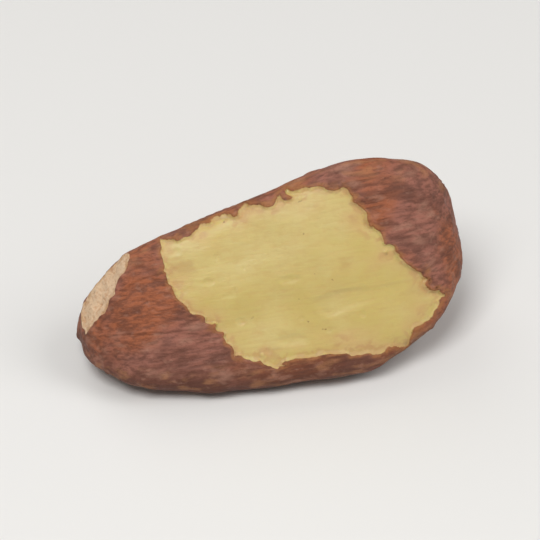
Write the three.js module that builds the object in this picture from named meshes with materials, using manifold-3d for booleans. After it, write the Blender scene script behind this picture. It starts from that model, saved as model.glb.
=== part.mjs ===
// A shelled brazil nut kernel, lying on its rounded face: ivory flesh, with brown skin left in patches.
// Millimetres, +Z up. X runs along the nut, from the narrow end with the broken tip to the blunt end.
// Y runs from the bare front face to the back. Angles around the nut are from +Y towards +Z, in degrees.

import * as THREE from 'three';
import { mergeVertices } from 'three/addons/utils/BufferGeometryUtils.js';
import Module from 'manifold-3d';

const wasm = await Module();
wasm.setup();

// Body: a three-sided section with rounded ridges, carried along the nut
const LENGTH = 31.8;
const DEPTH = 5.45; // from the middle line to a face, at mid length
const DEPTH_GROWTH = 1.7; // added to the depth at the blunt end, and taken off at the narrow end
const BLUNT_NARROW = 3.4; // how blunt each end is: 2 is the end of an ellipse
const BLUNT_WIDE = 2.2;
const RIDGE_SHARPNESS = 6;
// Each face looks along its angle at mid length, turns by its twist and moves out by its growth towards the
// blunt end, and does the opposite towards the narrow end. A flatness of 1 is a plane, and 0 is a round.
const FACES = [
  { name: 'under', angle: -90, twist: 0, growth: 0, flatness: 0.78 },
  { name: 'back', angle: 30, twist: 5, growth: 0.1, flatness: 0.86 },
  { name: 'front', angle: 146.5, twist: 1.8, growth: 0, flatness: 0.88 },
];
const SHARE_LOWEST = 0.1; // where the underside is lowest, as a share of the half length
const RISE_NARROW = 1.05; // how far the underside has risen at each end
const RISE_WIDE = 4.7;
const RISE_CURVE = 2.2;
const END_LIFT = 0.35; // the ends close this far above the underside, as a share of their depth
const TOP_SWELL = 0.028; // the top dips before the middle and swells after it, by this share of its radius
const SWELL_LENGTH = 24; // from one swell to where the next would be

// Lumps and hollows of the whole surface
const LUMPS = [
  { height: 0.26, size: 13 },
  { height: 0.08, size: 5.2 },
];

// Skin: stands this far out from the bare flesh, and its edges are ragged
const SKIN = 0.28;
const SKIN_EDGE = 0.3; // width of the step at its edge
const RAGGED = [
  { height: 0.32, size: 3.4 },
  { height: 0.16, size: 1.5 },
];

// Where the skin is gone. Each outline is drawn as seen from a direction, in millimetres right and up.
// It holds on the side of the nut that faces an angle, as far around as its reach.
const BARE_PATCHES = [
  {
    name: 'front face',
    azimuth: -16,
    elevation: 40,
    facing: 149,
    reach: 65,
    outline: [
      [-8.6, 7.1],
      [-2, 10],
      [0, 10.3],
      [1.3, 11.2],
      [4, 11.8],
      [6.5, 11.4],
      [7.9, 9.3],
      [9.1, 7.3],
      [11.5, 5.5],
      [13.4, 3.6],
      [14.9, 3.1],
      [12.6, 0.9],
      [11.2, -0.9],
      [7.5, -1.9],
      [4, -1.9],
      [0.7, -2.9],
      [-1.6, -2.2],
      [-2.9, -2.1],
      [-3.7, 0],
      [-5.3, 0.4],
      [-7.9, 3.5],
      [-8.6, 4.9],
    ],
  },
  {
    name: 'scuffed back',
    azimuth: 180,
    elevation: 30,
    facing: 36,
    reach: 70,
    outline: [
      [-10.2, 5.6],
      [-7.8, 7.4],
      [-6.2, 7],
      [-3.4, 9.3],
      [-0.9, 8.6],
      [1.2, 9.2],
      [3.6, 6.9],
      [5.9, 6.2],
      [4.2, 4.4],
      [1.4, 4.9],
      [-0.4, 3],
      [-3.8, 3.6],
      [-5.1, 1.9],
      [-7.4, 2.6],
      [-8, 4.6],
    ],
  },
  {
    name: 'worn lower ridge',
    azimuth: 180,
    elevation: -10,
    facing: -20,
    reach: 45,
    outline: [
      [3.2, 4.3],
      [5.2, 5.4],
      [7.8, 5.2],
      [9.4, 4.2],
      [7.9, 3.3],
      [5, 3.1],
    ],
  },
  {
    name: 'chip underneath',
    azimuth: 0,
    elevation: -90,
    facing: -90,
    reach: 50,
    outline: [
      [6.4, 0.9],
      [8.5, 1.9],
      [10.6, 0.5],
      [9.7, -1.9],
      [7.3, -2.3],
    ],
  },
];

// Fleck of skin left on the bare front face, in the millimetres of its outline
const FLECK = { across: 13.3, up: 3.9, radius: 0.6 };

// Broken tip: a rough plane across the narrow end
const TIP_FACES = new THREE.Vector3(-0.82, 0.07, 0.57).normalize();
const TIP_DISTANCE = 15.65; // from the origin, along that direction
const TIP_ROUGHNESS = { height: 0.22, size: 2 };
const TIP_LIP = 0.6; // the break is rough from this far inside its rim

// Flat spot that the nut rests on, just under the lowest of the flesh, so that it is cut into the skin
const FLAT_HEIGHT = -0.03;

// Mesh: each edge of a 20-sided ball is cut into one more piece than this
const MESH_DETAIL = 22;
const NORMAL_STEP = 0.004; // between the places on that ball that give the direction of a normal

const FLESH_COLOUR = new THREE.Color(0.62, 0.49, 0.22);
const SKIN_COLOUR = new THREE.Color(0.24, 0.1, 0.07);
const BREAK_COLOUR = new THREE.Color(0.75, 0.6, 0.42);

// Smooth unevenness between -1 and 1, from three sine waves that bend one another
const WAVES = [
  { direction: new THREE.Vector3(1, 0.3, -0.2), start: 0 },
  { direction: new THREE.Vector3(-0.4, 1.1, 0.3), start: 1.7 },
  { direction: new THREE.Vector3(0.25, 0.5, 0.9), start: 4.1 },
];
const WAVE_BEND = 1.3;

function uneven(point, size) {
  const phases = WAVES.map((wave) => ((2 * Math.PI) / size) * wave.direction.dot(point) + wave.start);
  const bends = [phases[1], phases[2], phases[0]].map((phase) => WAVE_BEND * Math.sin(phase));
  const waves = phases.map((phase, i) => Math.sin(phase + bends[i]));
  return waves.reduce((sum, wave) => sum + wave) / waves.length;
}

function unevenBy(point, layers) {
  return layers.reduce((sum, layer) => sum + layer.height * uneven(point, layer.size), 0);
}

// The share of the section's size that is left at a place along the nut, from -1 to 1
function endRounding(along) {
  const blunt = along < 0 ? BLUNT_NARROW : BLUNT_WIDE;
  return Math.max(1 - Math.abs(along) ** blunt, 0) ** (1 / blunt);
}

const faceDepth = (along) => (DEPTH + DEPTH_GROWTH * along) * endRounding(along);

function undersideRise(along) {
  const fromLowest = along - SHARE_LOWEST;
  return (fromLowest < 0 ? RISE_NARROW : RISE_WIDE) * Math.abs(fromLowest) ** RISE_CURVE;
}

// The middle line is the depth of a face above the underside, and higher near the ends
function middleHeight(along) {
  const lift = END_LIFT * (DEPTH + DEPTH_GROWTH * along - faceDepth(along));
  return faceDepth(along) + lift + undersideRise(along);
}

// How far the surface is from the middle line, as a multiple of the depth of a face
function sectionRadius(along, around) {
  let total = 0;
  for (const face of FACES) {
    const turned = around - THREE.MathUtils.degToRad(face.angle + face.twist * along);
    const towards = Math.max(Math.cos(turned), 0) ** face.flatness / (1 + face.growth * along);
    total += towards ** RIDGE_SHARPNESS;
  }
  return total ** (-1 / RIDGE_SHARPNESS);
}

// The flesh under the skin, for a direction out of a unit ball
function fleshPoint(direction) {
  const along = THREE.MathUtils.clamp(direction.x, -1, 1);
  const around = Math.atan2(direction.z, direction.y);
  const upward = Math.max(Math.sin(around), 0);
  const swell = 1 + TOP_SWELL * upward * Math.sin((Math.PI * LENGTH * along) / SWELL_LENGTH);
  const radius = faceDepth(along) * sectionRadius(along, around) * swell;
  const point = new THREE.Vector3(
    (LENGTH / 2) * along,
    radius * Math.cos(around),
    middleHeight(along) + radius * Math.sin(around),
  );
  return point.addScaledVector(direction, unevenBy(point, LUMPS));
}

function outwardAt(direction) {
  const side = new THREE.Vector3(0, 0, 1).cross(direction).normalize();
  const up = direction.clone().cross(side);
  const middle = fleshPoint(direction);
  const step = (tangent) => fleshPoint(direction.clone().addScaledVector(tangent, NORMAL_STEP).normalize());
  return step(side).sub(middle).cross(step(up).sub(middle)).normalize();
}

// How far a place is inside a closed outline, below zero outside it
function insideBy(outline, x, y) {
  let nearest = Infinity;
  let inside = false;
  outline.forEach(([x1, y1], i) => {
    const [x2, y2] = outline[(i + 1) % outline.length];
    const share = ((x - x1) * (x2 - x1) + (y - y1) * (y2 - y1)) / ((x2 - x1) ** 2 + (y2 - y1) ** 2);
    const held = THREE.MathUtils.clamp(share, 0, 1);
    nearest = Math.min(nearest, Math.hypot(x - x1 - held * (x2 - x1), y - y1 - held * (y2 - y1)));
    const crossed = y1 > y !== y2 > y && x < x1 + ((y - y1) * (x2 - x1)) / (y2 - y1);
    inside = crossed ? !inside : inside;
  });
  return inside ? nearest : -nearest;
}

// A point as seen from a direction: millimetres to the right and up
function seenFrom(point, azimuth, elevation) {
  const turn = THREE.MathUtils.degToRad(azimuth);
  const tilt = THREE.MathUtils.degToRad(elevation);
  const across = point.x * Math.cos(turn) + point.y * Math.sin(turn);
  const away = point.y * Math.cos(turn) - point.x * Math.sin(turn);
  return [across, point.z * Math.cos(tilt) + away * Math.sin(tilt)];
}

function bareBy(point, patch) {
  const [across, up] = seenFrom(point, patch.azimuth, patch.elevation);
  const height = point.z - middleHeight(THREE.MathUtils.clamp((2 * point.x) / LENGTH, -1, 1));
  const turned = Math.atan2(height, point.y) - THREE.MathUtils.degToRad(patch.facing);
  const offFace = Math.abs(Math.atan2(Math.sin(turned), Math.cos(turned)));
  const reachLeft = (THREE.MathUtils.degToRad(patch.reach) - offFace) * Math.hypot(point.y, height);
  return Math.min(insideBy(patch.outline, across, up), reachLeft);
}

function insideFleck(point) {
  const [front] = BARE_PATCHES;
  const [across, up] = seenFrom(point, front.azimuth, front.elevation);
  const inside = FLECK.radius - Math.hypot(across - FLECK.across, up - FLECK.up);
  return bareBy(point, front) > 0 ? inside : -Infinity;
}

// How far a place is inside the skin, below zero on bare flesh
function skinBy(point) {
  const bare = Math.max(...BARE_PATCHES.map((patch) => bareBy(point, patch)));
  return Math.max(unevenBy(point, RAGGED) - bare, insideFleck(point));
}

const beyondBreak = (point) => point.dot(TIP_FACES) - TIP_DISTANCE;

// Moves a point past the break back on to its rough plane
function breakTip(point) {
  const beyond = beyondBreak(point);
  if (beyond <= 0) return;
  point.addScaledVector(TIP_FACES, -beyond);
  const rough = TIP_ROUGHNESS.height * uneven(point, TIP_ROUGHNESS.size) * Math.min(beyond / TIP_LIP, 1);
  point.addScaledVector(TIP_FACES, rough);
}

function toSolid(geometry) {
  geometry.deleteAttribute('normal');
  geometry.deleteAttribute('uv');
  const merged = mergeVertices(geometry);
  return new wasm.Manifold(
    new wasm.Mesh({
      numProp: 3,
      vertProperties: new Float32Array(merged.attributes.position.array),
      triVerts: new Uint32Array(merged.index.array),
    }),
  );
}

function toGeometry(solid) {
  const mesh = solid.getMesh();
  const geometry = new THREE.BufferGeometry();
  geometry.setAttribute('position', new THREE.BufferAttribute(mesh.vertProperties, 3));
  geometry.setIndex(new THREE.BufferAttribute(mesh.triVerts, 1));
  return geometry;
}

// The kernel with its skin and broken tip, before the flat spot is cut
function grownKernel() {
  const geometry = new THREE.IcosahedronGeometry(1, MESH_DETAIL);
  const position = geometry.attributes.position;
  const direction = new THREE.Vector3();
  for (let i = 0; i < position.count; i += 1) {
    direction.fromBufferAttribute(position, i).normalize();
    const point = fleshPoint(direction);
    const covered = THREE.MathUtils.smoothstep(skinBy(point), -SKIN_EDGE / 2, SKIN_EDGE / 2);
    point.addScaledVector(outwardAt(direction), SKIN * covered);
    breakTip(point);
    position.setXYZ(i, point.x, point.y, point.z);
  }
  return toSolid(geometry);
}

function belowFlatSpot() {
  const block = new THREE.BoxGeometry(2 * LENGTH, 2 * LENGTH, LENGTH);
  block.translate(0, 0, FLAT_HEIGHT - LENGTH / 2);
  return toSolid(block);
}

function paint(geometry) {
  const position = geometry.attributes.position;
  const colours = new Float32Array(3 * position.count);
  const point = new THREE.Vector3();
  for (let i = 0; i < position.count; i += 1) {
    point.fromBufferAttribute(position, i);
    const onBreak = beyondBreak(point) > -TIP_ROUGHNESS.height;
    const grown = skinBy(point) > 0 ? SKIN_COLOUR : FLESH_COLOUR;
    (onBreak ? BREAK_COLOUR : grown).toArray(colours, 3 * i);
  }
  geometry.setAttribute('color', new THREE.BufferAttribute(colours, 3));
}

// Puts the middle of the nut's box over the origin, and its flat spot on the ground
function standOnOrigin(geometry) {
  geometry.computeBoundingBox();
  const { min, max } = geometry.boundingBox;
  geometry.translate(-(min.x + max.x) / 2, -(min.y + max.y) / 2, -min.z);
  geometry.computeVertexNormals();
}

function kernelMesh() {
  const geometry = toGeometry(grownKernel().subtract(belowFlatSpot()));
  paint(geometry);
  standOnOrigin(geometry);
  const material = new THREE.MeshStandardMaterial({ vertexColors: true, roughness: 0.55, metalness: 0 });
  const mesh = new THREE.Mesh(geometry, material);
  mesh.name = 'kernel';
  return mesh;
}

const nut = new THREE.Group();
nut.add(kernelMesh());

export default nut;
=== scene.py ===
# A shelled brazil nut kernel on a pale floor. A finer surface of the same form takes the place of the
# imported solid, with the torn edge of the skin, its wrinkles and veins, dents in the flesh and the crumbs
# of the broken tip.
import itertools
import math

import bpy
import numpy as np
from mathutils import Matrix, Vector


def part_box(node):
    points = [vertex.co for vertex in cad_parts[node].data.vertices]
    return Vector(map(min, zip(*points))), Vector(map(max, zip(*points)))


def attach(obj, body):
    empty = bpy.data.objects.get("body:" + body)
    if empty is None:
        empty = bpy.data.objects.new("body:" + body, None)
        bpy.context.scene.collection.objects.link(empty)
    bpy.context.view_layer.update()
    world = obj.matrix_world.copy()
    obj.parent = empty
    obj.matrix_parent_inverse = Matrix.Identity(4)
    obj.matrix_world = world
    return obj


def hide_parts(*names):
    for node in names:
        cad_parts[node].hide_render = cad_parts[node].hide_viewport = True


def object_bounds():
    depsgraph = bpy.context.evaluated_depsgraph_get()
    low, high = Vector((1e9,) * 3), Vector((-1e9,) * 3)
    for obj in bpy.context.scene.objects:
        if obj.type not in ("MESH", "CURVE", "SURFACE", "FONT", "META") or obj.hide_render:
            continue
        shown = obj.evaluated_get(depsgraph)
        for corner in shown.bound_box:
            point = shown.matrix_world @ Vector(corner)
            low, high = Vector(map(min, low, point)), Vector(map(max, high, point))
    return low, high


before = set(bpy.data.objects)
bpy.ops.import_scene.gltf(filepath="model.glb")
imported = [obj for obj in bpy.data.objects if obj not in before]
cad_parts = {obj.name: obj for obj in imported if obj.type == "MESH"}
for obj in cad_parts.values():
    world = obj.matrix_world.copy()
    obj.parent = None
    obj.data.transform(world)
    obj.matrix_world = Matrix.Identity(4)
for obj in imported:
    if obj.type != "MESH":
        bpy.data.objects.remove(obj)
cad_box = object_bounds()

# Lengths are in millimetres, as in the part's source, until the mesh is scaled to Blender's metres.
MM = 0.001
SEED = 29

# Body: a three-sided section with rounded ridges, carried along the nut. These are the solid's own
# numbers, and the comments in the part's source say what each of them is.
LENGTH = 31.8
DEPTH = 5.45
DEPTH_GROWTH = 1.7
BLUNT_NARROW = 3.4
BLUNT_WIDE = 2.2
RIDGE_SHARPNESS = 6
FACES = (
    {"angle": -90, "twist": 0, "growth": 0, "flatness": 0.78},
    {"angle": 30, "twist": 5, "growth": 0.1, "flatness": 0.86},
    {"angle": 146.5, "twist": 1.8, "growth": 0, "flatness": 0.88},
)
SHARE_LOWEST = 0.1
RISE_NARROW = 1.05
RISE_WIDE = 4.7
RISE_CURVE = 2.2
END_LIFT = 0.35
TOP_SWELL = 0.028
SWELL_LENGTH = 24
LUMPS = ((0.26, 13), (0.08, 5.2))

# Skin: its thickness and the raggedness of its edge, as pairs of height and size
SKIN = 0.28
RAGGED = ((0.32, 3.4), (0.16, 1.5))

# Bare patches: each outline is drawn as seen from a direction, to the right and up. The patch reaches so
# many degrees around the nut from the way it faces. A small fleck of skin is left on the front one.
BARE_PATCHES = (
    {
        "azimuth": -16, "elevation": 40, "facing": 149, "reach": 65,
        "outline": (
            (-8.6, 7.1), (-2, 10), (0, 10.3), (1.3, 11.2), (4, 11.8), (6.5, 11.4), (7.9, 9.3),
            (9.1, 7.3), (11.5, 5.5), (13.4, 3.6), (14.9, 3.1), (12.6, 0.9), (11.2, -0.9), (7.5, -1.9),
            (4, -1.9), (0.7, -2.9), (-1.6, -2.2), (-2.9, -2.1), (-3.7, 0), (-5.3, 0.4), (-7.9, 3.5),
            (-8.6, 4.9),
        ),
    },
    {
        "azimuth": 180, "elevation": 30, "facing": 36, "reach": 70,
        "outline": (
            (-10.2, 5.6), (-7.8, 7.4), (-6.2, 7), (-3.4, 9.3), (-0.9, 8.6), (1.2, 9.2), (3.6, 6.9),
            (5.9, 6.2), (4.2, 4.4), (1.4, 4.9), (-0.4, 3), (-3.8, 3.6), (-5.1, 1.9), (-7.4, 2.6),
            (-8, 4.6),
        ),
    },
    {
        "azimuth": 180, "elevation": -10, "facing": -20, "reach": 45,
        "outline": ((3.2, 4.3), (5.2, 5.4), (7.8, 5.2), (9.4, 4.2), (7.9, 3.3), (5, 3.1)),
    },
    {
        "azimuth": 0, "elevation": -90, "facing": -90, "reach": 50,
        "outline": ((6.4, 0.9), (8.5, 1.9), (10.6, 0.5), (9.7, -1.9), (7.3, -2.3)),
    },
)
FLECK = {"across": 13.3, "up": 3.9, "radius": 0.6}

# Broken tip: the way it faces, how far out it is, its roughness as height and size, and how far in from
# its rim it is fully rough. Then the height at which the flat spot is cut.
TIP_FACES = np.array((-0.82, 0.07, 0.57))
TIP_FACES /= np.linalg.norm(TIP_FACES)
TIP_DISTANCE = 15.65
TIP_ROUGHNESS = (0.22, 2)
TIP_LIP = 0.6
FLAT_HEIGHT = -0.03

# The three waves of the solid's unevenness
WAVES = np.array(((1, 0.3, -0.2), (-0.4, 1.1, 0.3), (0.25, 0.5, 0.9)))
WAVE_STARTS = np.array((0, 1.7, 4.1))
WAVE_BEND = 1.3

# Mesh: cells along the nut, and across it both ways
CELLS = (176, 94, 94)

# The points nearest to the skin's edge slide on to it: how many times, the step that reads the slope, and
# how open the corners of a face have to stay
SNAP_TURNS = 3
SNAP_STEP = 0.0004
LEAST_OPENING = 0.00002

# How far outside its edge the skin starts to rise, and the range of what the material reads at a point,
# which reaches past all that its places below go by
SKIN_STEP = 0.11
READING_RANGE = (-3, 6)

# Random bumps: how many values their table holds, and the level that wrinkles rise to
GRAIN_VALUES = 256
WRINKLE_TOP = 0.5

# Torn edge of the skin: fine teeth, loose flakes outside it and small holes inside it. Each layer of
# random bumps has a seed, a height, a size and how many times as long it is along the nut.
TEETH = ((1, 0.2, 0.8, 1.8), (2, 0.1, 0.36, 1.5))
FLAKES = {"seed": 3, "size": 0.75, "stretch": 1.6, "level": 0.5, "slope": 0.6, "fading": 0.45}
HOLES = {"seed": 4, "size": 0.7, "stretch": 1.4, "level": 0.52, "slope": 0.6, "fading": 0.5}

# Relief of the flesh, the skin and the broken tip, in layers of the same kind
FLESH_BUMPS = ((11, 0.06, 3.1, 1), (12, 0.022, 1.2, 1), (13, 0.03, 1.3, 4))
FLESH_PITS = {"seed": 14, "depth": 0.09, "size": 1, "stretch": 1, "levels": (0.62, 0.95)}
FLESH_DENTS = {"seed": 15, "depth": 0.13, "size": 1.5, "stretch": 2.6, "levels": (0.5, 0.85)}
SKIN_WRINKLES = ((21, 0.1, 1.1, 4.5), (22, 0.05, 0.45, 3.5))
SKIN_DIMPLES = ((23, 0.08, 2.1, 1),)
SKIN_CURL = {"seed": 24, "size": 2.3, "height": 0.09, "lowest": -0.6, "width": 0.3}
SKIN_VEINS = {"seed": 25, "size": 2.2, "stretch": 5, "height": 0.1, "width": 0.12}
BREAK_CRUMBS = ((31, 0.2, 1.1, 1), (32, 0.13, 0.5, 1), (33, 0.07, 0.26, 1))
BREAK_RIM = ((34, 0.16, 1, 1), (35, 0.1, 0.45, 1))

# Colours of the material, in linear light
COLOURS = {
    "ivory": (0.575, 0.445, 0.144),
    "pale ivory": (0.615, 0.49, 0.195),
    "blush": (0.6, 0.36, 0.17),
    "inner skin": (0.52, 0.3, 0.13),
    "film": (0.47, 0.28, 0.11),
    "speck": (0.22, 0.1, 0.04),
    "streak": (0.56, 0.38, 0.14),
    "red brown": (0.35, 0.103, 0.04),
    "mauve": (0.32, 0.122, 0.083),
    "dark brown": (0.09, 0.03, 0.017),
    "bloom": (0.42, 0.215, 0.147),
    "worn": (0.42, 0.19, 0.08),
    "thin skin": (0.35, 0.14, 0.045),
    "hollow": (0.62, 0.37, 0.215),
    "crumb": (0.75, 0.54, 0.35),
    "stained rim": (0.5, 0.26, 0.11),
}

# Noise of the material: its size, how many times as long it is along the nut, and its detail
NOISES = {
    "film": (2.2, 2, 5),
    "patches": (1.6, 1.8, 4),
    "bloom": (1.1, 2.2, 6),
    "wear": (0.9, 2.5, 5),
    "fringe": (0.7, 1.2, 3),
    "specks": (0.6, 1.4, 2),
    "flecks": (0.5, 1.6, 4),
    "mottling": (0.5, 1.3, 4),
    "streaks": (0.32, 9, 3),
    "fibres": (0.3, 7, 4),
    "crumbs": (0.3, 1, 5),
    "grit": (0.16, 1.5, 3),
    "clouds": (6, 1, 3),
}

# Places that some colours keep to. What is read there goes from the first value to the second, in
# millimetres, or for the ridges as a share of the depth of a face.
PLACES = {
    "near skin": ("skin", -1.6, -0.1),
    "beside skin": ("skin", -0.75, -0.35),
    "torn edge": ("skin", 0.34, 0.02),
    "ridges": ("ridge", 0.4, 0.56),
    # Painted shade: the skin darkens towards the bottom of the nut, from 5.5 mm above the flat underside
    # down to 1.5 mm.
    "shaded low parts": ("height", 5.5, 1.5),
    "rim": ("break", 0.5, 0),
}

# Where the skin's and the broken tip's own looks take over, in millimetres
SKIN_STARTS = (-0.07, -0.02)
BREAK_STARTS = (0, 0.05)

# Looks of each surface. A layer takes over as its noise goes from the first level to the second, and
# covers at most its share. Roughness goes with a noise, and the bumps are the height of each noise.
FLESH = {
    "colour": "ivory",
    "layers": (
        {"colour": "pale ivory", "noise": "clouds", "levels": (0.36, 0.64), "share": 1},
        {
            "colour": "blush", "noise": "patches", "levels": (0.38, 0.62), "share": 0.5,
            "place": "near skin",
        },
        {
            "colour": "inner skin", "noise": "fringe", "levels": (0.44, 0.55), "share": 0.6,
            "place": "beside skin",
        },
        {"colour": "film", "noise": "film", "levels": (0.6, 0.7), "share": 0.45},
        {"colour": "speck", "noise": "specks", "levels": (0.72, 0.77), "share": 0.7},
        {"colour": "streak", "noise": "streaks", "levels": (0.58, 0.34), "share": 0.3},
        {"colour": "streak", "noise": "mottling", "levels": (0.52, 0.3), "share": 0.3},
    ),
    "roughness": {"noise": "patches", "from": 0.36, "to": 0.54},
    "bumps": {"streaks": 0.035, "mottling": 0.03},
}
SKIN_LOOKS = {
    "colour": "red brown",
    "layers": (
        {"colour": "mauve", "noise": "clouds", "levels": (0.42, 0.6), "share": 1},
        {"colour": "dark brown", "noise": "fibres", "levels": (0.62, 0.36), "share": 0.6},
        {"colour": "dark brown", "noise": "patches", "levels": (0.5, 0.62), "share": 0.5},
        # Painted shade: dark brown laid over the skin towards the bottom of the nut.
        {
            "colour": "dark brown", "noise": "film", "levels": (0.2, 0.45), "share": 0.8,
            "place": "shaded low parts",
        },
        {"colour": "bloom", "noise": "bloom", "levels": (0.52, 0.7), "share": 0.5},
        {"colour": "worn", "noise": "wear", "levels": (0.48, 0.64), "share": 0.45, "place": "ridges"},
        {
            "colour": "thin skin", "noise": "fringe", "levels": (0.3, 0.6), "share": 0.8,
            "place": "torn edge",
        },
        {"colour": "bloom", "noise": "flecks", "levels": (0.56, 0.72), "share": 0.3},
        {"colour": "dark brown", "noise": "grit", "levels": (0.5, 0.3), "share": 0.3},
    ),
    "roughness": {"noise": "bloom", "from": 0.55, "to": 0.78},
    "bumps": {"fibres": 0.11, "grit": 0.05},
}
BREAK_LOOKS = {
    "colour": "hollow",
    "layers": (
        {"colour": "crumb", "noise": "crumbs", "levels": (0.3, 0.55), "share": 1},
        {
            "colour": "stained rim", "noise": "fringe", "levels": (0.38, 0.6), "share": 0.8,
            "place": "rim",
        },
    ),
    "roughness": {"noise": "crumbs", "from": 0.8, "to": 0.9},
    "bumps": {"crumbs": 0.28},
}
NOISE_RANGE = (0.3, 0.7)
GLOSS = 0.35
FLESH_SCATTERING = {"weight": 0.25, "radius": (1, 0.6, 0.3), "scale": 0.7}

# The mix node's sockets for numbers and for colours: the two that it mixes, and the result
MIX_NUMBERS = (2, 3, 0)
MIX_COLOURS = (6, 7, 2)

# Camera: the angle from which the photograph is taken to show the nut, through a long lens. Lengths are
# in millimetres, and the nearest and farthest that it sees in metres.
AZIMUTH = -16
ELEVATION = 40
LENS = 250
SENSOR = 36
FRAME_WIDTH = 44.5
AIM_HEIGHT = 6.5
CLIP = (0.01, 10)

# Studio, in metres and watts
FLOOR_HALF = 0.6
FLOOR_COLOUR = (0.78, 0.77, 0.75, 1)
FLOOR_ROUGHNESS = 0.7
LIGHTS = (
    {"name": "key", "azimuth": -42, "elevation": 61, "distance": 0.4, "size": 0.18, "power": 0.97},
    {"name": "fill", "azimuth": 62, "elevation": 45, "distance": 0.5, "size": 0.3, "power": 0.85},
    {"name": "back", "azimuth": 195, "elevation": 45, "distance": 0.45, "size": 0.3, "power": 0.34},
)
SKY_COLOUR = (1, 0.985, 0.96, 1)
SKY_STRENGTH = 0.25


def uneven(points, size):
    """Smooth unevenness between -1 and 1, from three sine waves that bend one another."""
    phases = (2 * math.pi / size) * points @ WAVES.T + WAVE_STARTS
    return np.sin(phases + WAVE_BEND * np.sin(np.roll(phases, -1, axis=1))).mean(axis=1)


def uneven_by(points, layers):
    return sum(height * uneven(points, size) for height, size in layers)


def grain(points, size, seed, stretch=1.0):
    """Random bumps between about -1 and 1, `size` apart and `stretch` times as long along the nut."""
    random = np.random.default_rng(SEED + seed)
    table = random.permutation(GRAIN_VALUES)
    levels = random.uniform(-1, 1, GRAIN_VALUES)
    places = points / (size * np.array((stretch, 1, 1)))
    cell = np.floor(places).astype(int)
    share = places - cell
    share = share * share * (3 - 2 * share)
    total = np.zeros(len(points))
    for corner in itertools.product((0, 1), repeat=3):
        key = np.zeros(len(points), int)
        for axis in range(3):
            key = table[(key + cell[:, axis] + corner[axis]) % GRAIN_VALUES]
        total += levels[key] * np.prod(np.where(corner, share, 1 - share), axis=1)
    return total


def smooth_step(values, low, high):
    share = np.clip((values - low) / (high - low), 0, 1)
    return share * share * (3 - 2 * share)


def end_rounding(along):
    blunt = np.where(along < 0, BLUNT_NARROW, BLUNT_WIDE)
    return np.maximum(1 - np.abs(along) ** blunt, 0) ** (1 / blunt)


def middle_height(along):
    """The middle line is the depth of a face above the underside, and higher near the ends."""
    from_lowest = along - SHARE_LOWEST
    rise = np.where(from_lowest < 0, RISE_NARROW, RISE_WIDE) * np.abs(from_lowest) ** RISE_CURVE
    rounding = end_rounding(along)
    lift = END_LIFT * (1 - rounding)
    return (DEPTH + DEPTH_GROWTH * along) * (rounding + lift) + rise


def section_radius(along, around):
    total = 0
    for face in FACES:
        turned = around - np.radians(face["angle"] + face["twist"] * along)
        towards = np.maximum(np.cos(turned), 0) ** face["flatness"] / (1 + face["growth"] * along)
        total = total + towards**RIDGE_SHARPNESS
    return total ** (-1 / RIDGE_SHARPNESS)


def places_on_nut(directions):
    """Place along the nut, from -1 to 1, and angle around it, for directions on a ball."""
    side = np.hypot(directions[:, 1], directions[:, 2])
    lengthwise = directions[:, 0]
    blunt = np.where(lengthwise < 0, BLUNT_NARROW, BLUNT_WIDE)
    along = lengthwise / (np.abs(lengthwise) ** blunt + side**blunt) ** (1 / blunt)
    return along, np.arctan2(directions[:, 2], directions[:, 1])


def flesh_points(directions):
    """The bare flesh of the solid, as its source has it."""
    along, around = places_on_nut(directions)
    wave = np.sin(math.pi * LENGTH * along / SWELL_LENGTH)
    swell = 1 + TOP_SWELL * np.maximum(np.sin(around), 0) * wave
    depth = (DEPTH + DEPTH_GROWTH * along) * end_rounding(along)
    radius = depth * section_radius(along, around) * swell
    height = middle_height(along) + radius * np.sin(around)
    points = np.stack((LENGTH / 2 * along, radius * np.cos(around), height), axis=1)
    side = np.sqrt(np.maximum(1 - along**2, 0))
    outward = np.stack((along, side * np.cos(around), side * np.sin(around)), axis=1)
    return points + outward * uneven_by(points, LUMPS)[:, None]


def inside_by(outline, places):
    """How far places are inside a closed outline, below zero outside it."""
    nearest = np.full(len(places), np.inf)
    inside = np.zeros(len(places), bool)
    for start, end in zip(outline, outline[1:] + outline[:1]):
        start, end = np.array(start, float), np.array(end, float)
        edge = end - start
        share = np.clip((places - start) @ edge / (edge @ edge), 0, 1)
        nearest = np.minimum(nearest, np.linalg.norm(places - start - share[:, None] * edge, axis=1))
        level = (start[1] > places[:, 1]) != (end[1] > places[:, 1])
        height = end[1] - start[1] or 1
        inside ^= level & (places[:, 0] < start[0] + (places[:, 1] - start[1]) * edge[0] / height)
    return np.where(inside, nearest, -nearest)


def seen_from(points, azimuth, elevation):
    """Points as seen from a direction: distances to the right and up."""
    turn, tilt = math.radians(azimuth), math.radians(elevation)
    right = np.array((math.cos(turn), math.sin(turn), 0))
    up = np.array((-math.sin(turn) * math.sin(tilt), math.cos(turn) * math.sin(tilt), math.cos(tilt)))
    return np.stack((points @ right, points @ up), axis=1)


def bare_by(points, patch):
    height = points[:, 2] - middle_height(np.clip(2 * points[:, 0] / LENGTH, -1, 1))
    turned = np.arctan2(height, points[:, 1]) - math.radians(patch["facing"])
    off_face = np.abs(np.arctan2(np.sin(turned), np.cos(turned)))
    reach_left = (math.radians(patch["reach"]) - off_face) * np.hypot(points[:, 1], height)
    places = seen_from(points, patch["azimuth"], patch["elevation"])
    return np.minimum(inside_by(patch["outline"], places), reach_left)


def skin_by(points):
    """How far points are inside the skin, below zero on bare flesh."""
    front = BARE_PATCHES[0]
    bare = np.max([bare_by(points, patch) for patch in BARE_PATCHES], axis=0)
    skin = uneven_by(points, RAGGED) - bare
    offset = seen_from(points, front["azimuth"], front["elevation"]) - (FLECK["across"], FLECK["up"])
    fleck = np.where(bare > 0, FLECK["radius"] - np.linalg.norm(offset, axis=1), -np.inf)
    return np.maximum(skin, fleck)


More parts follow.
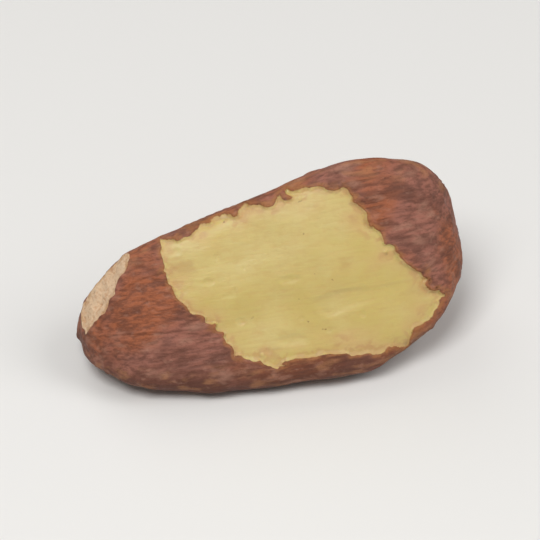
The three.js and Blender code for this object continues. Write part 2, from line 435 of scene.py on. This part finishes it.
def layered(points, layers):
    """Sum of several layers of random bumps."""
    return sum(height * grain(points, size, seed, stretch) for seed, height, size, stretch in layers)


def wrinkles(points, layers):
    """Narrow ridges, where random bumps change from high to low."""
    return sum(
        height * (WRINKLE_TOP - np.abs(grain(points, size, seed, stretch)))
        for seed, height, size, stretch in layers
    )


def hollows(points, kind):
    """Scattered hollows, below zero."""
    bumps = grain(points, kind["size"], kind["seed"], kind["stretch"])
    return -kind["depth"] * smooth_step(bumps, *kind["levels"])


def scattered_by(points, kind):
    """How far points are inside scattered patches, below zero outside them."""
    return kind["slope"] * (grain(points, kind["size"], kind["seed"], kind["stretch"]) - kind["level"])


def torn_skin_by(points):
    """The distance to the edge of the skin, with its teeth, flakes and holes."""
    skin = skin_by(points) + layered(points, TEETH)
    flakes = scattered_by(points, FLAKES) + FLAKES["fading"] * np.minimum(skin, 0)
    holes = scattered_by(points, HOLES) - HOLES["fading"] * np.maximum(skin, 0)
    return np.minimum(np.maximum(skin, flakes), -holes)


def ball_grid(cells):
    """Directions and four-sided faces of a box grid blown up to a ball: closed, and facing out."""
    squares = []
    for axis in range(3):
        first, second = (axis + 1) % 3, (axis + 2) % 3
        across, up = np.meshgrid(np.arange(cells[first]), np.arange(cells[second]), indexing="ij")
        sides = {0: ((0, 0), (0, 1), (1, 1), (1, 0)), cells[axis]: ((0, 0), (1, 0), (1, 1), (0, 1))}
        for level, turns in sides.items():
            square = np.empty((across.size, 4, 3), int)
            for corner, (right, above) in enumerate(turns):
                square[:, corner, axis] = level
                square[:, corner, first] = across.ravel() + right
                square[:, corner, second] = up.ravel() + above
            squares.append(square)
    squares = np.concatenate(squares)
    places, faces = np.unique(squares.reshape(-1, 3), axis=0, return_inverse=True)
    directions = np.tan(math.pi / 4 * (2 * places / np.array(cells) - 1))
    return directions / np.linalg.norm(directions, axis=1, keepdims=True), faces.reshape(-1, 4)


def outward(points, faces):
    """Unit normals at the points of a closed surface."""
    corners = points[faces]
    facing = np.cross(corners[:, 2] - corners[:, 0], corners[:, 3] - corners[:, 1])
    normals = np.zeros_like(points)
    for corner in range(4):
        np.add.at(normals, faces[:, corner], facing)
    return normals / np.linalg.norm(normals, axis=1, keepdims=True)


def squeezed(directions, faces):
    """Faces of the ball that moving their corners has turned over or nearly closed."""
    corners = directions[faces]
    ahead = np.roll(corners, -1, axis=1) - corners
    behind = np.roll(corners, 1, axis=1) - corners
    opening = (np.cross(ahead, behind) * corners).sum(axis=2)
    return (opening < LEAST_OPENING).any(axis=1)


def nearest_to_edge(skin, faces):
    """Which points are nearer to the edge of the skin than each of their neighbours across it."""
    here, there = faces.ravel(), np.roll(faces, -1, axis=1).ravel()
    across = (skin[here] > 0) != (skin[there] > 0)
    here, there = here[across], there[across]
    nearest = np.zeros(len(skin), bool)
    nearest[here] = True
    nearest[here[np.abs(skin[here]) > np.abs(skin[there])]] = False
    return nearest


def slid_to_edge(directions):
    """Directions slid along the slope of the skin's distance, towards where it is zero."""
    skin = torn_skin_by(flesh_points(directions))
    side = np.cross(directions, (1.0, 0.0, 0.0))
    side /= np.linalg.norm(side, axis=1, keepdims=True)
    tangents = (side, np.cross(directions, side))
    slopes = [
        (torn_skin_by(flesh_points(directions + SNAP_STEP * way)) - skin) / SNAP_STEP
        for way in tangents
    ]
    steepness = np.maximum(slopes[0] ** 2 + slopes[1] ** 2, 1)
    slides = [(skin * slope / steepness)[:, None] * way for slope, way in zip(slopes, tangents)]
    slid = directions - slides[0] - slides[1]
    return slid / np.linalg.norm(slid, axis=1, keepdims=True)


def snap_to_edge(directions, faces):
    """Slides the directions nearest to the skin's edge on to it, so that the edge runs clean."""
    nearest = nearest_to_edge(torn_skin_by(flesh_points(directions)), faces)
    snapped = directions.copy()
    for _ in range(SNAP_TURNS):
        snapped[nearest] = slid_to_edge(snapped[nearest])
    while (faulty := faces[squeezed(snapped, faces)]).size:
        snapped[faulty] = directions[faulty]
    return snapped


def flesh_relief(points):
    """Soft swellings and grooves, small pits and a few long dents."""
    return layered(points, FLESH_BUMPS) + hollows(points, FLESH_PITS) + hollows(points, FLESH_DENTS)


def skin_relief(points, skin):
    """Wrinkles and veins along the nut, dimples, and an edge that curls up in places."""
    folds = wrinkles(points, SKIN_WRINKLES) + layered(points, SKIN_DIMPLES)
    off_vein = np.abs(grain(points, SKIN_VEINS["size"], SKIN_VEINS["seed"], SKIN_VEINS["stretch"]))
    veins = SKIN_VEINS["height"] * smooth_step(off_vein, SKIN_VEINS["width"], 0)
    curl = grain(points, SKIN_CURL["size"], SKIN_CURL["seed"]) - SKIN_CURL["lowest"]
    lift = SKIN_CURL["height"] * curl
    return folds + veins + lift * np.exp(-np.maximum(skin, 0) / SKIN_CURL["width"])


def halved(faces, heights):
    """Triangles: each face is cut between the opposite corners that are nearer in height."""
    rises = np.abs(heights[faces] - heights[np.roll(faces, 2, axis=1)])
    turned = np.where((rises[:, 0] > rises[:, 1])[:, None], np.roll(faces, 1, axis=1), faces)
    return np.concatenate((turned[:, (0, 1, 2)], turned[:, (0, 2, 3)]))


def nut_surface():
    """Points in millimetres, triangles, and what the material reads at each point."""
    directions, faces = ball_grid(CELLS)
    directions = snap_to_edge(directions, faces)
    flesh = flesh_points(directions)
    normals = outward(flesh, faces)
    skin = torn_skin_by(flesh)
    covered = smooth_step(skin, -SKIN_STEP, 0)
    relief = (1 - covered) * flesh_relief(flesh) + covered * (SKIN + skin_relief(flesh, skin))
    points = flesh + normals * relief[:, None]
    beyond = points @ TIP_FACES - TIP_DISTANCE + layered(points, BREAK_RIM)
    broken = beyond > 0
    points[broken] -= beyond[broken, None] * TIP_FACES
    height, size = TIP_ROUGHNESS
    rough = height * uneven(points[broken], size) + layered(points[broken], BREAK_CRUMBS)
    points[broken] += (rough * np.minimum(beyond[broken] / TIP_LIP, 1))[:, None] * TIP_FACES
    points[:, 2] = np.maximum(points[:, 2], FLAT_HEIGHT)
    along, around = places_on_nut(directions)
    readings = {
        "skin": skin,
        "break": beyond,
        "ridge": section_radius(along, around) - 1,
        "height": points[:, 2] - FLAT_HEIGHT,
    }
    return points, halved(faces, relief), readings


def into_frame(points):
    """Moves the surface to where the solid stands, and scales it to metres."""
    low, high = (np.array(corner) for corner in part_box("kernel"))
    middle = (points.min(axis=0) + points.max(axis=0)) / 2
    shift = np.array((-middle[0], -middle[1], -FLAT_HEIGHT)) * MM
    place = np.array(((low[0] + high[0]) / 2, (low[1] + high[1]) / 2, low[2]))
    return points * MM + shift + place


class Nodes:
    """The shader nodes of one material."""

    def __init__(self, tree):
        self.tree = tree
        self.at = self.add("ShaderNodeTexCoord").outputs["Object"]
        self.noises = {name: self.noise(number, *NOISES[name]) for number, name in enumerate(NOISES)}
        self.places = {
            name: self.ramp(self.reading(what), *values) for name, (what, *values) in PLACES.items()
        }

    def add(self, kind, inputs=(), **settings):
        made = self.tree.nodes.new(kind)
        for name, value in settings.items():
            setattr(made, name, value)
        for name, value in dict(inputs).items():
            if isinstance(value, bpy.types.NodeSocket):
                self.tree.links.new(value, made.inputs[name])
            else:
                made.inputs[name].default_value = value
        return made

    def reading(self, name):
        return self.add("ShaderNodeAttribute", attribute_name=name).outputs["Fac"]

    def noise(self, number, size, stretch, detail):
        across = 1 / (size * MM)
        scale = (across / stretch, across, across)
        mapping = self.add("ShaderNodeMapping", {"Vector": self.at, "Scale": scale})
        inputs = {"Vector": mapping.outputs["Vector"], "W": number, "Scale": 1, "Detail": detail}
        return self.add("ShaderNodeTexNoise", inputs, noise_dimensions="4D").outputs["Fac"]

    def ramp(self, value, low, high, to_low=0.0, to_high=1.0):
        inputs = {"Value": value, "From Min": low, "From Max": high, "To Min": to_low, "To Max": to_high}
        return self.add("ShaderNodeMapRange", inputs, interpolation_type="SMOOTHSTEP").outputs["Result"]

    def math(self, operation, first, second):
        return self.add("ShaderNodeMath", {0: first, 1: second}, operation=operation).outputs["Value"]

    def mix(self, share, first, second):
        one, other, result = MIX_NUMBERS
        return self.add("ShaderNodeMix", {0: share, one: first, other: second}).outputs[result]

    def tint(self, share, first, second):
        one, other, result = MIX_COLOURS
        inputs = {0: share, one: first, other: second}
        return self.add("ShaderNodeMix", inputs, data_type="RGBA").outputs[result]

    def looks(self, surface):
        """Colour, roughness and height of one kind of surface."""
        colour = (*COLOURS[surface["colour"]], 1)
        for layer in surface["layers"]:
            share = self.ramp(self.noises[layer["noise"]], *layer["levels"], 0, layer["share"])
            if "place" in layer:
                share = self.math("MULTIPLY", share, self.places[layer["place"]])
            colour = self.tint(share, colour, (*COLOURS[layer["colour"]], 1))
        rough = surface["roughness"]
        roughness = self.ramp(self.noises[rough["noise"]], *NOISE_RANGE, rough["from"], rough["to"])
        height = 0.0
        for noise, bump in surface["bumps"].items():
            height = self.math("ADD", height, self.math("MULTIPLY", self.noises[noise], bump))
        return colour, roughness, height


def kernel_material():
    material = bpy.data.materials.new("brazil_nut")
    material.use_nodes = True
    nodes = Nodes(material.node_tree)
    is_skin = nodes.ramp(nodes.reading("skin"), *SKIN_STARTS)
    is_break = nodes.ramp(nodes.reading("break"), *BREAK_STARTS)
    flesh, skin, broken = (nodes.looks(surface) for surface in (FLESH, SKIN_LOOKS, BREAK_LOOKS))
    colour = nodes.tint(is_break, nodes.tint(is_skin, flesh[0], skin[0]), broken[0])
    roughness = nodes.mix(is_break, nodes.mix(is_skin, flesh[1], skin[1]), broken[1])
    height = nodes.mix(is_break, nodes.mix(is_skin, flesh[2], skin[2]), broken[2])
    bump = nodes.add("ShaderNodeBump", {"Height": height, "Distance": MM})
    shader = material.node_tree.nodes["Principled BSDF"]
    shader.inputs["Specular IOR Level"].default_value = GLOSS
    shader.inputs["Subsurface Radius"].default_value = FLESH_SCATTERING["radius"]
    shader.inputs["Subsurface Scale"].default_value = FLESH_SCATTERING["scale"] * MM
    for name, value in {
        "Base Color": colour,
        "Roughness": roughness,
        "Normal": bump.outputs["Normal"],
        "Subsurface Weight": nodes.mix(is_skin, FLESH_SCATTERING["weight"], 0),
    }.items():
        nodes.tree.links.new(value, shader.inputs[name])
    return material


def build_nut():
    points, faces, readings = nut_surface()
    mesh = bpy.data.meshes.new("nut_surface")
    mesh.from_pydata(into_frame(points).tolist(), [], faces.tolist())
    for name, values in readings.items():
        attribute = mesh.attributes.new(name, "FLOAT", "POINT")
        attribute.data.foreach_set("value", np.clip(values, *READING_RANGE).astype(np.float32))
    mesh.shade_smooth()
    mesh.materials.append(kernel_material())
    piece = bpy.data.objects.new("nut_surface", mesh)
    bpy.context.scene.collection.objects.link(piece)
    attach(piece, "root")
    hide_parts("kernel")
    return piece


def towards(azimuth, elevation):
    turn, tilt = math.radians(azimuth), math.radians(elevation)
    return Vector((math.sin(turn) * math.cos(tilt), -math.cos(turn) * math.cos(tilt), math.sin(tilt)))


def make_camera():
    data = bpy.data.cameras.new("camera")
    data.lens = LENS
    data.sensor_width = SENSOR
    camera = bpy.data.objects.new("camera", data)
    bpy.context.scene.collection.objects.link(camera)
    low, high = cad_box
    back = towards(AZIMUTH, ELEVATION)
    aim = Vector(((low.x + high.x) / 2, (low.y + high.y) / 2, low.z + AIM_HEIGHT * MM))
    camera.location = aim + back * FRAME_WIDTH * MM * LENS / SENSOR
    camera.rotation_euler = back.to_track_quat("Z", "Y").to_euler()
    data.clip_start, data.clip_end = CLIP
    bpy.context.scene.camera = camera


def make_floor():
    corners = [(-FLOOR_HALF, -FLOOR_HALF, 0), (FLOOR_HALF, -FLOOR_HALF, 0)]
    corners += [(FLOOR_HALF, FLOOR_HALF, 0), (-FLOOR_HALF, FLOOR_HALF, 0)]
    mesh = bpy.data.meshes.new("floor")
    mesh.from_pydata(corners, [], [range(4)])
    material = bpy.data.materials.new("floor")
    material.use_nodes = True
    shader = material.node_tree.nodes["Principled BSDF"]
    shader.inputs["Base Color"].default_value = FLOOR_COLOUR
    shader.inputs["Roughness"].default_value = FLOOR_ROUGHNESS
    mesh.materials.append(material)
    floor = bpy.data.objects.new("floor", mesh)
    floor.location.z = cad_box[0].z
    bpy.context.scene.collection.objects.link(floor)


def make_light(name, azimuth, elevation, distance, size, power):
    data = bpy.data.lights.new(name, "AREA")
    data.size = size
    data.energy = power
    light = bpy.data.objects.new(name, data)
    away = towards(azimuth, elevation)
    light.location = away * distance
    light.rotation_euler = away.to_track_quat("Z", "Y").to_euler()
    bpy.context.scene.collection.objects.link(light)


def make_studio():
    make_floor()
    for light in LIGHTS:
        make_light(**light)
    world = bpy.data.worlds.new("studio")
    world.use_nodes = True
    sky = world.node_tree.nodes["Background"]
    sky.inputs["Color"].default_value = SKY_COLOUR
    sky.inputs["Strength"].default_value = SKY_STRENGTH
    bpy.context.scene.world = world
    bpy.context.scene.view_settings.view_transform = "Standard"


make_camera()
build_nut()
make_studio()
